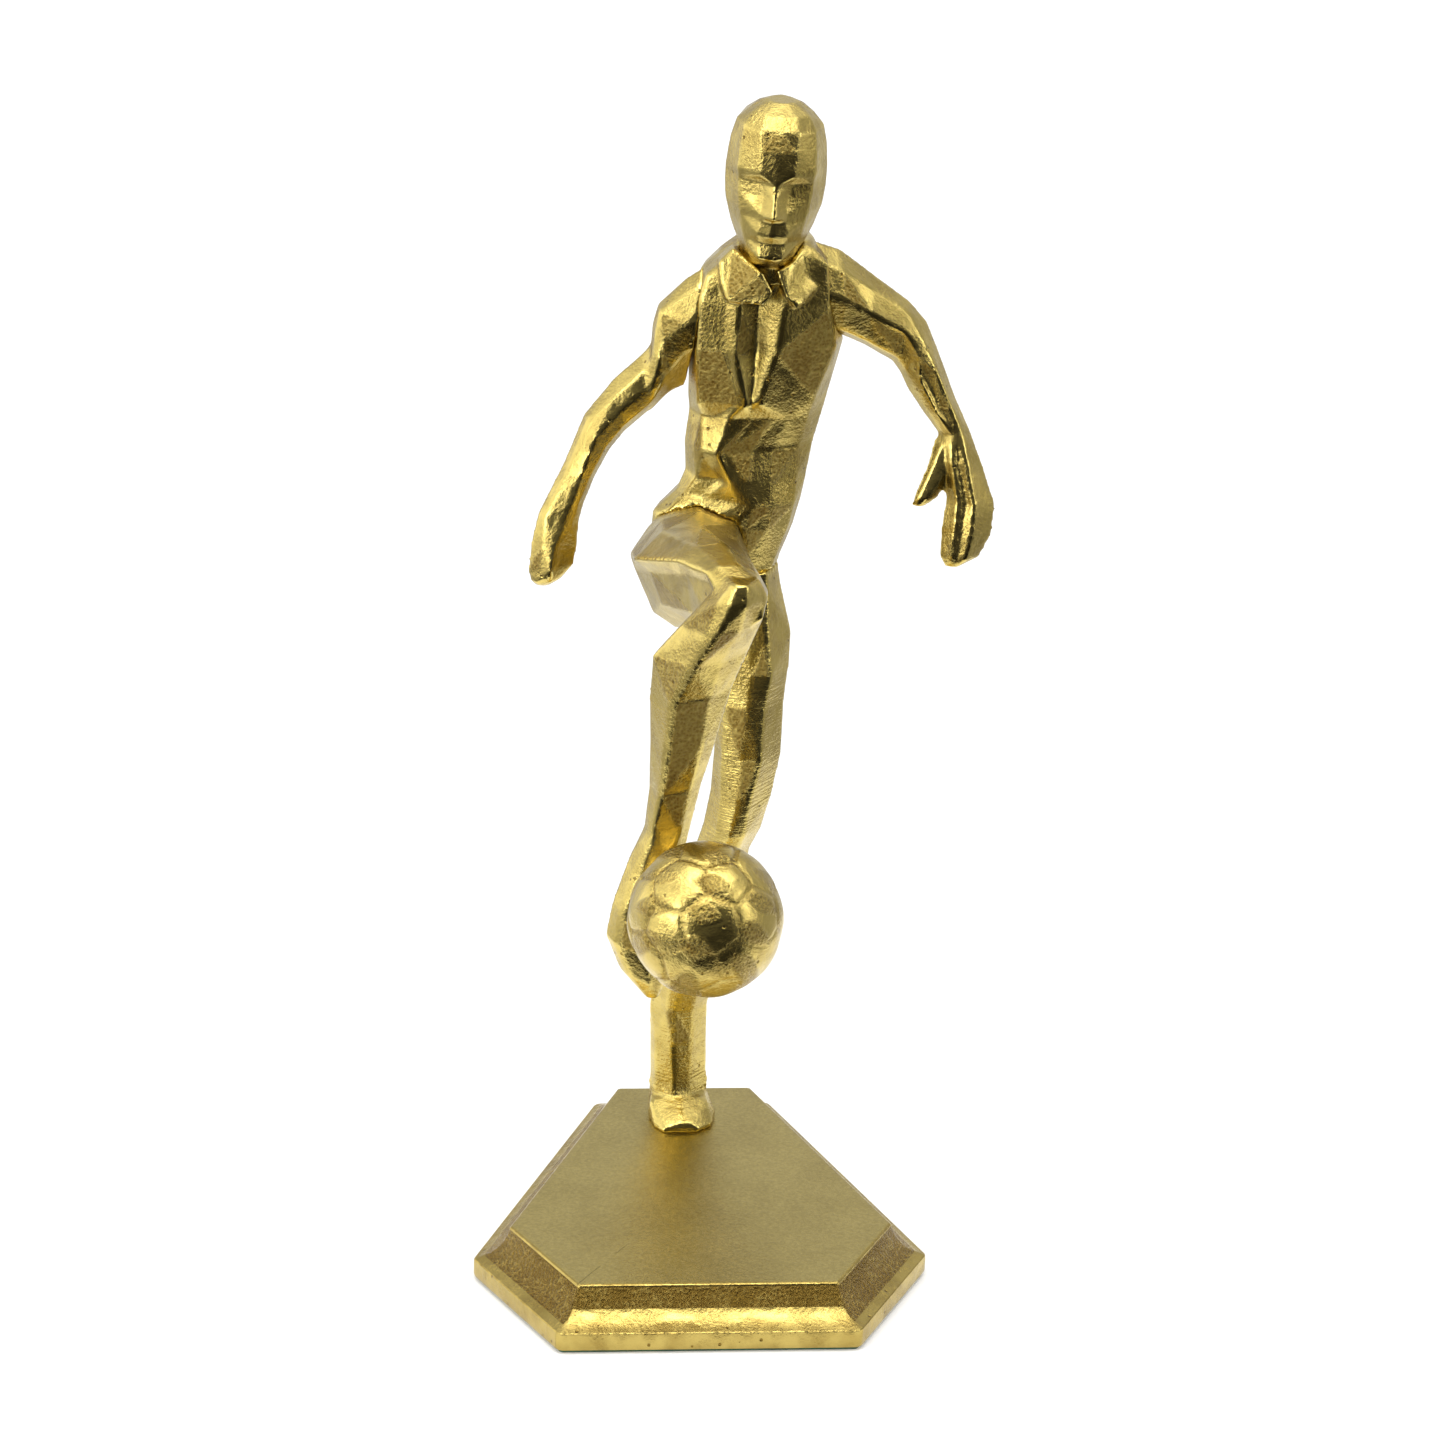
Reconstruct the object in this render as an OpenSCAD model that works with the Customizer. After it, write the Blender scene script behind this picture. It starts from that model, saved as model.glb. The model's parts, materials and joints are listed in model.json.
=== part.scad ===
// Figure trophy: a faceted cast-metal footballer on a six-sided base.
// Millimetres, +Z up. The origin is the middle of the base's underside.
// The figure faces -Y. "Left" and "right" name the footballer's own sides.

/* [Base] */
// Height of the metal base above the felt
base_height = 16.5; // [12:0.5:30]
// Width across the two side corners
base_width = 140; // [110:1:200]
// Depth from the front edge to the back edge
base_depth = 155; // [120:1:220]
// Height of the upright rim below the cove
rim_height = 6; // [3:0.5:9]
// How far the cove steps in from the rim
cove_inset = 10.5; // [6:0.5:18]
// Radius of the base's upright corners
corner_radius = 3; // [1:0.5:8]
// Thickness of the felt under the base
felt_thickness = 1; // [0.5:0.5:3]

/* [Figure] */
// Height of the footballer, sole to crown
figure_height = 337; // [200:1:520]
// Diameter of the ball
ball_diameter = 46; // [30:1:64]

/* [Fixings] */
// Diameter of the stud that holds the figure to the base
stud_diameter = 6; // [4:0.5:8]
// Diameter of the pins between the body castings
pin_diameter = 6; // [3:0.5:8]
// Diameter of the pin between ball and boot
ball_pin_diameter = 3; // [2:0.5:4]
// Room left around each pin
pin_play = 0.05; // [0.02:0.01:0.2]

/* [Hidden] */

gold = [0.78, 0.66, 0.36];
steel = [0.7, 0.71, 0.72];
green = [0.1, 0.22, 0.15];

$fn = 64;
base_top = felt_thickness + base_height;
k = figure_height / 337;
ball_radius = ball_diameter / 2;
toe_line = -30.5 / 155;

// The base outline, from its front left corner going round to the right.
base_corners = [
    [-0.3214 * base_width, -0.5 * base_depth],
    [0.3214 * base_width, -0.5 * base_depth],
    [0.5 * base_width, toe_line * base_depth],
    [0.2071 * base_width, 0.5 * base_depth],
    [-0.2071 * base_width, 0.5 * base_depth],
    [-0.5 * base_width, toe_line * base_depth]
];

function unit(v) = v / norm(v);

// Corner i of an outline, counted round and round.
function corner(list, i) = list[(i + len(list)) % len(list)];

// The outline moved inwards by d, corner by corner.
function inset(list, d) = [
    for (i = [0:len(list) - 1])
        let (
            p = corner(list, i),
            u = unit(corner(list, i - 1) - p),
            v = unit(corner(list, i + 1) - p),
            half_sine = sqrt((1 - u * v) / 2)
        )
        p + unit(u + v) * d / half_sine
];

// The outline with each corner turned into a short arc of radius r.
function rounded(list, r, steps = 4) = [
    for (i = [0:len(list) - 1])
        let (
            p = corner(list, i),
            u = unit(corner(list, i - 1) - p),
            v = unit(corner(list, i + 1) - p),
            half_sine = sqrt((1 - u * v) / 2),
            middle = p + unit(u + v) * r / half_sine,
            half_turn = acos(half_sine),
            facing = atan2(p[1] - middle[1], p[0] - middle[0])
        )
        for (s = [0:steps])
            let (a = facing + half_turn * (2 * s / steps - 1))
            middle + r * [cos(a), sin(a)]
];

function raised(list, z) = [for (p = list) [p[0], p[1], z]];

// Two triangles for one side of a loft, split so that the fold stands out.
function fold(p, a, b, c, d) =
    cross(p[b] - p[a], p[c] - p[a]) * (p[d] - p[a]) > 0
        ? [[a, b, c], [a, c, d]]
        : [[a, b, d], [b, c, d]];

// A closed skin over rings of corners. Each ring runs left, front, right, back.
module loft(rings) {
    n = len(rings[0]);
    last = len(rings) - 1;
    points = [for (r = rings) each r];
    sides = [
        for (i = [0:last - 1], j = [0:n - 1])
            let (e = (j + 1) % n)
            each fold(points, i * n + j, i * n + e, (i + 1) * n + e, (i + 1) * n + j)
    ];
    first_cap = [for (j = [1:n - 2]) [0, j + 1, j]];
    last_cap = [for (j = [1:n - 2]) [last * n, last * n + j, last * n + j + 1]];
    polyhedron(points, concat(sides, first_cap, last_cap));
}

// A ring across a limb, between its two edges as seen from the front.
// Each corner is [part of the way across, depth behind the ring's own y].
function slice(a, b, y, corners) = [
    for (c = corners)
        [a[0] + c[0] * (b[0] - a[0]), y + c[1], a[1] + c[0] * (b[1] - a[1])]
];

// A ring standing upright across the y direction; corners are [x, z].
function upright(y, corners) = [for (c = corners) [c[0], y, c[1]]];

// A level ring, the same on both sides. Half the corners, front to back.
function level(z, half) = concat(
    [for (c = half) [c[0], c[1], z]],
    [for (i = [len(half) - 2:-1:1]) [-half[i][0], half[i][1], z]]
);

// Moves its children so that their +Z points along dir from the point c.
module aimed(c, dir) {
    translate(c)
        rotate([0, acos(dir[2] / norm(dir)), atan2(dir[1], dir[0])])
            children();
}

// A block whose flat face passes through c; it fills the side dir points to.
module beyond(c, dir, side = 44) {
    aimed(c, dir) translate([-side / 2, -side / 2, 0]) cube([side, side, side + 16]);
}

// Where the castings meet: a point of each joint face and its facing.
neck_seat = [17.5, 33, 303];
neck_facing = [0.05, -0.3, 1];
right_shoulder = [-3.5, 37, 288];
right_shoulder_facing = [-1, 0, 0.14];
left_shoulder = [34, 37, 296];
left_shoulder_facing = [1, 0, 0.27];
standing_hip = [15, 38, 208];
standing_hip_facing = [0.25, 0, -1];
kicking_hip = [-8, 30, 216];
kicking_hip_facing = [-0.3, -1, 0.05];
ball_centre = [-2.4, -50, 128];
ball_facing = unit([-17, 20, -12]);

// Puts the footballer's own drawing on the base, at the chosen size.
module figure() {
    translate([0, 0, base_top]) scale(k) translate([0, 0, -17.5]) children();
}

// A point of that drawing after it is put on the base.
function placed(c) = [k * c[0], k * c[1], base_top + k * (c[2] - 17.5)];

// A straight pin centred on c, or its hole when room is given.
module pin(c, dir, diameter, length, room = 0) {
    aimed(placed(c), dir)
        cylinder(h = length * k + 2 * room, d = diameter + 2 * room, center = true);
}

// The stud and the small pin under the standing boot.
stud_at = placed([-2.5, 51, 17.5]);
foot_pin_at = placed([-2.5, 40.5, 17.5]);
stud_up = 24 * k;
bore_depth = 9;
washer_diameter = 2 * stud_diameter;
washer_thickness = 1;
nut_height = 0.8 * stud_diameter;
nut_diameter = 1.9 * stud_diameter;
foot_pin_diameter = 2.5;
foot_pin_up = 2.2 * k;
foot_pin_down = 5;

function ball_middle() = placed(ball_centre + 23 * ball_facing) - ball_radius * ball_facing;

// The cove is a shallow hollow arc. It leaves the rim at the first slope and
// meets the flat top at the second, in degrees.
cove_slopes = [14, 78];

module base_plate() {
    steps = 6;
    bottom = rounded(base_corners, corner_radius);
    cove_height = base_height - rim_height;
    sine = [for (a = cove_slopes) sin(a)];
    cosine = [for (a = cove_slopes) cos(a)];
    rings = [
        for (s = [steps:-1:0])
            let (
                a = cove_slopes[0] + (cove_slopes[1] - cove_slopes[0]) * s / steps,
                d = cove_inset * (sin(a) - sine[0]) / (sine[1] - sine[0]),
                rise = cove_height * (cosine[0] - cos(a)) / (cosine[0] - cosine[1]),
                z = felt_thickness + rim_height + rise
            )
            raised(rounded(inset(base_corners, d), max(corner_radius - d / 6, 0.8)), z)
    ];
    color(gold)
        difference() {
            loft(concat(rings, [raised(bottom, felt_thickness)]));
            translate([stud_at[0], stud_at[1], 0])
                cylinder(h = base_top + 1, d = stud_diameter + 2 * pin_play);
            translate([stud_at[0], stud_at[1], 0])
                cylinder(h = felt_thickness + bore_depth, d = washer_diameter + 1);
            translate([foot_pin_at[0], foot_pin_at[1], base_top - foot_pin_down - pin_play])
                cylinder(h = foot_pin_down + 1, d = foot_pin_diameter + 2 * pin_play);
        }
}

module felt_sheet() {
    color(green)
        linear_extrude(felt_thickness)
            polygon(rounded(inset(base_corners, 1.5), max(corner_radius - 1.5, 0.5)));
}

module foot_washer() {
    color(steel)
        translate([stud_at[0], stud_at[1], felt_thickness + bore_depth - washer_thickness])
            difference() {
                cylinder(h = washer_thickness, d = washer_diameter);
                translate([0, 0, -1])
                    cylinder(h = washer_thickness + 2, d = stud_diameter + 2 * pin_play);
            }
}

nut_z = felt_thickness + bore_depth - washer_thickness - nut_height;

module foot_nut() {
    color(steel)
        translate([stud_at[0], stud_at[1], nut_z])
            difference() {
                cylinder(h = nut_height, d = nut_diameter, $fn = 6);
                translate([0, 0, -1])
                    cylinder(h = nut_height + 2, d = stud_diameter + 2 * pin_play);
            }
}

module foot_stud() {
    low = nut_z - 0.5;
    color(steel)
        translate([stud_at[0], stud_at[1], low])
            cylinder(h = base_top + stud_up - low, d = stud_diameter);
}

module foot_pin() {
    color(steel)
        translate([foot_pin_at[0], foot_pin_at[1], base_top - foot_pin_down])
            cylinder(h = foot_pin_down + foot_pin_up, d = foot_pin_diameter);
}

module neck_pin(room = 0) {
    color(steel) pin(neck_seat, neck_facing, pin_diameter, 20, room);
}

module right_shoulder_pin(room = 0) {
    color(steel)
        pin(right_shoulder, right_shoulder_facing, pin_diameter, 18, room);
}

module left_shoulder_pin(room = 0) {
    color(steel)
        pin(left_shoulder, left_shoulder_facing, pin_diameter, 20, room);
}

module standing_hip_pin(room = 0) {
    color(steel)
        pin(standing_hip, standing_hip_facing, pin_diameter, 22, room);
}

module kicking_hip_pin(room = 0) {
    color(steel)
        pin(kicking_hip, kicking_hip_facing, pin_diameter, 22, room);
}

module ball_pin(room = 0) {
    color(steel)
        aimed(placed(ball_centre + 23 * ball_facing), ball_facing)
            translate([0, 0, -8 * k])
                cylinder(h = 12 * k + room, d = ball_pin_diameter + 2 * room);
}

module ball() {
    color(gold)
        difference() {
            translate(ball_middle()) sphere(r = ball_radius);
            ball_pin(pin_play);
        }
}

// The head, drawn upright about its own middle line with the chin at z = 0.
module head_shape() {
    loft([
        level(46, [[0, -2.5], [2, -2], [3.5, -0.5], [4.5, 2.5], [2.5, 6], [0, 7.5]]),
        level(43.5, [[0, -8.5], [4.5, -7.5], [8, -4], [8.8, 2], [6.5, 10], [0, 13]]),
        level(40, [[0, -12.6], [5.5, -11.6], [10.4, -7], [12.8, 1], [10, 13.2], [0, 16.4]]),
        level(34.5, [[0, -14.2], [5.3, -13.3], [11, -8.4], [14.2, 1], [11.3, 14], [0, 17.6]]),
        level(28, [[0, -15.2], [5, -14.6], [11.4, -9.5], [14.9, 1], [12, 14], [0, 18]]),
        level(25.2, [[0, -15.8], [4, -12.4], [10.8, -9], [15, 1], [12, 13.5], [0, 17.5]]),
        level(21, [[0, -17.5], [3.6, -13.2], [10.6, -9.6], [14.9, 0.5], [11.8, 12.5], [0, 16.5]]),
        level(16, [[0, -19.8], [3.8, -14.8], [10, -9.8], [14.3, 0], [11, 11.5], [0, 15]]),
        level(14.6, [[0, -16], [3.5, -14.8], [9.6, -9.8], [13.8, 0], [10.6, 11], [0, 14.5]]),
        level(10, [[0, -16.6], [4.4, -15], [8.8, -9.8], [12.4, 0], [9.6, 10], [0, 13]]),
        level(7.4, [[0, -14.8], [3.9, -13.8], [8.2, -9.4], [11.4, 0], [9, 9.6], [0, 12.5]]),
        level(3, [[0, -16.2], [3.5, -15.4], [6.6, -10], [9.4, 0], [8.2, 9], [0, 12]]),
        level(0.5, [[0, -13.5], [2.6, -13], [5.4, -8.5], [8.6, 0], [8, 8.8], [0, 11.6]]),
        level(-2, [[0, -8], [4.2, -7.4], [7.8, -4], [9.4, 1], [8, 8.8], [0, 11.6]]),
        level(-14, [[0, -9], [5.2, -8], [9.8, -3.8], [11.4, 2], [9.4, 10], [0, 13]])
    ]);
}

module head_casting() {
    difference() {
        translate([17.2, 29, 308]) rotate([6, 3, -4]) head_shape();
        beyond(neck_seat, -neck_facing);
    }
}

module head() {
    color(gold)
        difference() {
            figure() head_casting();
            neck_pin(pin_play);
        }
}

module torso_shape() {
    side = [[0, 0], [1, 0], [0.95, 9], [0.75, 13.5], [0.5, 12.5], [0.25, 13.5], [0.05, 9]];
    function chest(a, b, y, front) =
        slice(a, b, y, concat([side[0]], front, [for (i = [1:6]) side[i]]));
    loft([
        chest([9.5, 311], [30.5, 312], 37,
            [[0.1, -6], [0.3, -10], [0.4, -10.5], [0.5, -11], [0.6, -10.5], [0.75, -10], [0.9, -6]]),
        chest([3, 306.5], [32, 309.5], 37,
            [[0.04, -9], [0.22, -12.5], [0.38, -14], [0.47, -13],
             [0.6, -15], [0.78, -13.5], [0.96, -11]]),
        chest([-2.5, 301.5], [35.5, 306], 37,
            [[0.03, -11], [0.18, -13], [0.36, -14.5], [0.44, -12.6],
             [0.58, -14.5], [0.8, -14], [0.97, -12.5]]),
        chest([-4.5, 295], [37, 296], 37,
            [[0.03, -12], [0.22, -14], [0.33, -15.5], [0.44, -12],
             [0.55, -15], [0.63, -16.5], [0.96, -12.5]]),
        chest([-4.8, 293.6], [37.5, 292], 37,
            [[0.03, -12], [0.22, -14.5], [0.31, -16.5], [0.44, -12],
             [0.55, -15.5], [0.62, -17], [0.96, -12]]),
        chest([-5.5, 279], [41.2, 280.8], 37,
            [[0.03, -11.5], [0.2, -14.5], [0.275, -17], [0.41, -12.5],
             [0.485, -16], [0.54, -17.5], [0.93, -11]]),
        chest([-5.5, 263], [37, 264.5], 37,
            [[0.05, -10.5], [0.33, -15], [0.39, -16], [0.42, -14.5],
             [0.445, -15.5], [0.48, -16], [0.88, -10]]),
        chest([-5, 258.5], [35.6, 258.5], 37,
            [[0.08, -8], [0.18, -10.5], [0.27, -13.5], [0.45, -12.5],
             [0.6, -12], [0.73, -11], [0.87, -8]]),
        chest([-6.3, 248], [32.9, 248], 37,
            [[0.06, -8], [0.12, -11.5], [0.23, -14.5], [0.3, -13],
             [0.5, -10.5], [0.66, -9.5], [0.87, -6]]),
        chest([-5.9, 239.5], [31, 238], 36.5,
            [[0.08, -8], [0.27, -10.5], [0.31, -12.5], [0.35, -13.5],
             [0.5, -13], [0.7, -11], [0.9, -6]]),
        chest([-8.5, 233.5], [29.5, 230.5], 36,
            [[0.05, -6], [0.2, -9], [0.35, -11], [0.48, -13], [0.6, -13.5], [0.75, -12], [0.93, -7]]),
        chest([-15.5, 226.5], [27.6, 223], 36,
            [[0.05, -7], [0.2, -12], [0.35, -14], [0.5, -14.5], [0.65, -13], [0.8, -11], [0.95, -6]]),
        chest([-16.5, 212], [22.8, 210], 37,
            [[0.05, -8], [0.2, -12], [0.35, -13], [0.5, -13], [0.65, -12], [0.8, -10], [0.95, -6]]),
        chest([-8, 198], [19, 200], 37,
            [[0.05, -6], [0.2, -8], [0.35, -8.5], [0.5, -8.5], [0.65, -8], [0.8, -7], [0.95, -4]])
    ]);
}

// A flap of the collar, standing a little proud of the chest. Its corners run
// clockwise as seen from the front.
module collar_flap(corners) {
    loft([
        [for (c = corners) [c[0], 32, c[2]]],
        corners
    ]);
}

module collar() {
    collar_flap([
        [4.3, 19.5, 295.2], [2.8, 22, 299.6], [2, 25, 305.7], [6.2, 26, 309.8],
        [14.4, 17.2, 304.8], [17.8, 16, 298.6], [14.7, 15.5, 294.8], [10.6, 16.2, 295]
    ]);
    collar_flap([
        [21.4, 16, 297.8], [18.5, 17.5, 304.8], [23.8, 20.5, 307.2], [28.8, 26, 309.8],
        [30.6, 25.5, 304.3], [30.6, 22.5, 298.5], [27.5, 18, 295.6], [24.5, 15.8, 293.8]
    ]);
}

module torso() {
    color(gold)
        difference() {
            figure()
                difference() {
                    union() {
                        torso_shape();
                        collar();
                    }
                    head_casting();
                    right_arm_casting();
                    left_arm_casting();
                    kicking_leg_casting();
                    beyond(standing_hip, standing_hip_facing, 34);
                }
            neck_pin(pin_play);
            right_shoulder_pin(pin_play);
            left_shoulder_pin(pin_play);
            standing_hip_pin(pin_play);
            kicking_hip_pin(pin_play);
        }
}

module right_arm_casting() {
    intersection() {
        loft([
            slice([4, 306], [0, 270], 37,
                [[0, -2], [0.15, -9], [0.45, -11.5], [0.75, -10.5], [1, -2], [0.8, 9], [0.2, 10]]),
            slice([-7, 298.5], [-6.6, 266], 37,
                [[0, -2], [0.1, -7.5], [0.36, -12], [0.6, -10.5], [1, -2], [0.8, 8], [0.2, 9]]),
            slice([-15, 291], [-11, 263.5], 36.5,
                [[0, -1], [0.05, -7], [0.35, -10], [0.7, -8.5], [1, -1], [0.75, 8], [0.2, 8]]),
            slice([-16.6, 285], [-13.5, 261.5], 36,
                [[0, -1], [0.12, -7], [0.45, -9.5], [0.75, -8], [1, -1], [0.75, 7.5], [0.2, 7]]),
            slice([-17, 279], [-16, 258.5], 36,
                [[0, -1], [0.2, -7], [0.5, -8.5], [0.75, -7.5], [1, -1], [0.75, 7], [0.25, 6.5]]),
            slice([-19, 276.2], [-17.8, 257.2], 35.5,
                [[0, 0], [0.2, -5.5], [0.55, -7], [0.8, -6], [1, 0], [0.75, 6.5], [0.25, 6]]),
            slice([-28.3, 267.5], [-24.3, 251.6], 35,
                [[0, 0], [0.2, -5.5], [0.5, -7.5], [0.8, -6], [1, 0], [0.75, 6], [0.25, 6]]),
            slice([-36.8, 257.5], [-29, 246.3], 33,
                [[0, 0], [0.1, -4.5], [0.45, -8], [0.8, -6], [1, 0], [0.7, 6], [0.25, 6.5]]),
            slice([-42.8, 243.3], [-33.6, 238.2], 30.5,
                [[0, 0], [0.15, -4], [0.55, -7], [0.8, -5], [1, 0], [0.7, 6], [0.3, 6]]),
            slice([-47.4, 234.5], [-36.7, 231], 27.5,
                [[0, 0], [0.15, -4], [0.6, -6], [0.8, -5], [1, 0], [0.7, 5.5], [0.3, 5.5]]),
            slice([-50.6, 228.8], [-38.3, 225.4], 25.5,
                [[0, 0], [0.15, -3.5], [0.6, -5], [0.8, -4], [1, 0], [0.7, 4.5], [0.3, 4.5]]),
            slice([-52.8, 220], [-38.6, 218], 24,
                [[0, 0], [0.25, -4.5], [0.5, -6], [0.68, -3.5], [1, 0], [0.7, 4], [0.3, 4]]),
            slice([-53.6, 212], [-39.6, 213.8], 22.5,
                [[0, 0], [0.25, -3.5], [0.5, -6], [0.62, -4], [1, 0], [0.7, 3.5], [0.3, 3.5]]),
            slice([-52.8, 208.5], [-43, 209.5], 22,
                [[0, 0], [0.2, -3], [0.6, -4], [0.75, -3], [1, 0], [0.7, 3], [0.3, 3]]),
            slice([-51.2, 207], [-47, 207], 22,
                [[0, 0], [0.2, -1], [0.6, -1.5], [0.75, -1], [1, 0], [0.7, 1.5], [0.3, 1.5]])
        ]);
        beyond(right_shoulder, right_shoulder_facing, 200);
    }
}

module right_arm() {
    color(gold)
        difference() {
            figure() right_arm_casting();
            right_shoulder_pin(pin_play);
        }
}

module left_arm_casting() {
    intersection() {
        union() {
            loft([
                slice([30, 284], [28, 311], 37,
                    [[0, 0], [0.15, -8], [0.42, -11], [0.52, -11.5],
                     [0.85, -8], [1, 0], [0.8, 8], [0.2, 8]]),
                slice([41, 281], [38.7, 307.6], 37,
                    [[0, 0], [0.12, -8], [0.44, -11], [0.52, -11.5],
                     [0.82, -8], [1, 0], [0.8, 8], [0.2, 8]]),
                slice([47.3, 278.4], [49, 300.3], 37,
                    [[0, 0], [0.12, -7], [0.46, -9.5], [0.54, -10.2],
                     [0.84, -6.5], [1, 0], [0.8, 7], [0.2, 7]]),
                slice([56, 273.6], [60, 292.6], 36,
                    [[0, 0], [0.15, -6], [0.5, -7.5], [0.58, -9],
                     [0.86, -6], [1, 0], [0.8, 6.5], [0.2, 6.5]]),
                slice([58.3, 270.4], [66, 286], 35.5,
                    [[0, 0], [0.15, -5], [0.4, -7], [0.5, -9],
                     [0.75, -7.5], [1, 0], [0.8, 6], [0.2, 6.5]]),
                slice([60.6, 265.7], [70.4, 275.3], 34,
                    [[0, 0], [0.18, -5], [0.36, -7.5], [0.44, -5.5],
                     [0.78, -7.5], [1, 0], [0.8, 6], [0.2, 6.5]]),
                slice([65, 259.4], [75.8, 262], 32,
                    [[0, 0], [0.15, -4], [0.36, -7], [0.46, -5],
                     [0.78, -6.5], [1, 0], [0.8, 5.5], [0.2, 5.5]]),
                slice([69.8, 253.4], [79.6, 254], 30,
                    [[0, 0], [0.15, -3], [0.35, -4.5], [0.5, -5],
                     [0.7, -5], [1, 0], [0.8, 4], [0.2, 4]]),
                slice([70.5, 246.5], [83.5, 244.5], 27.5,
                    [[0, 0], [0.1, -2.5], [0.25, -5], [0.4, -3.8],
                     [0.6, -5.5], [1, 0], [0.8, 3.5], [0.2, 3.5]]),
                slice([72.6, 234.2], [87.9, 232], 25,
                    [[0, 0], [0.1, -2], [0.2, -4.5], [0.38, -3.6],
                     [0.52, -6], [1, 0], [0.8, 3], [0.2, 3]]),
                slice([71.3, 225.9], [87, 223.4], 23,
                    [[0, 0], [0.12, -2], [0.24, -4.2], [0.36, -3.4],
                     [0.55, -5.5], [1, 0], [0.8, 2.8], [0.2, 2.8]]),
                slice([70.8, 217], [83.2, 216.6], 21.5,
                    [[0, 0], [0.15, -2], [0.3, -3.5], [0.42, -3],
                     [0.6, -4.5], [1, 0], [0.8, 2.2], [0.2, 2.2]]),
                slice([72.6, 213.8], [77.5, 213.8], 21,
                    [[0, 0], [0.12, -1], [0.3, -1.6], [0.4, -1.6],
                     [0.6, -2], [1, 0], [0.8, 1.2], [0.2, 1.2]])
            ]);
            loft([
                slice([69, 251.5], [76, 248], 29.5, [[0, 0], [0.3, -3.5], [0.7, -3], [1, 0], [0.5, 3]]),
                slice([66.3, 243], [73.5, 238.5], 26.5,
                    [[0, 0], [0.2, -2.5], [0.6, -3], [1, 0], [0.5, 3]]),
                slice([62.8, 235], [69.8, 233.8], 24.5,
                    [[0, 0], [0.2, -2.2], [0.5, -2.6], [1, 0], [0.5, 2.2]]),
                slice([62, 232], [65.8, 231.4], 24,
                    [[0, 0], [0.3, -1], [0.6, -1.2], [1, 0], [0.5, 1.2]])
            ]);
        }
        beyond(left_shoulder, left_shoulder_facing, 200);
    }
}

module left_arm() {
    color(gold)
        difference() {
            figure() left_arm_casting();
            left_shoulder_pin(pin_play);
        }
}

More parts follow.
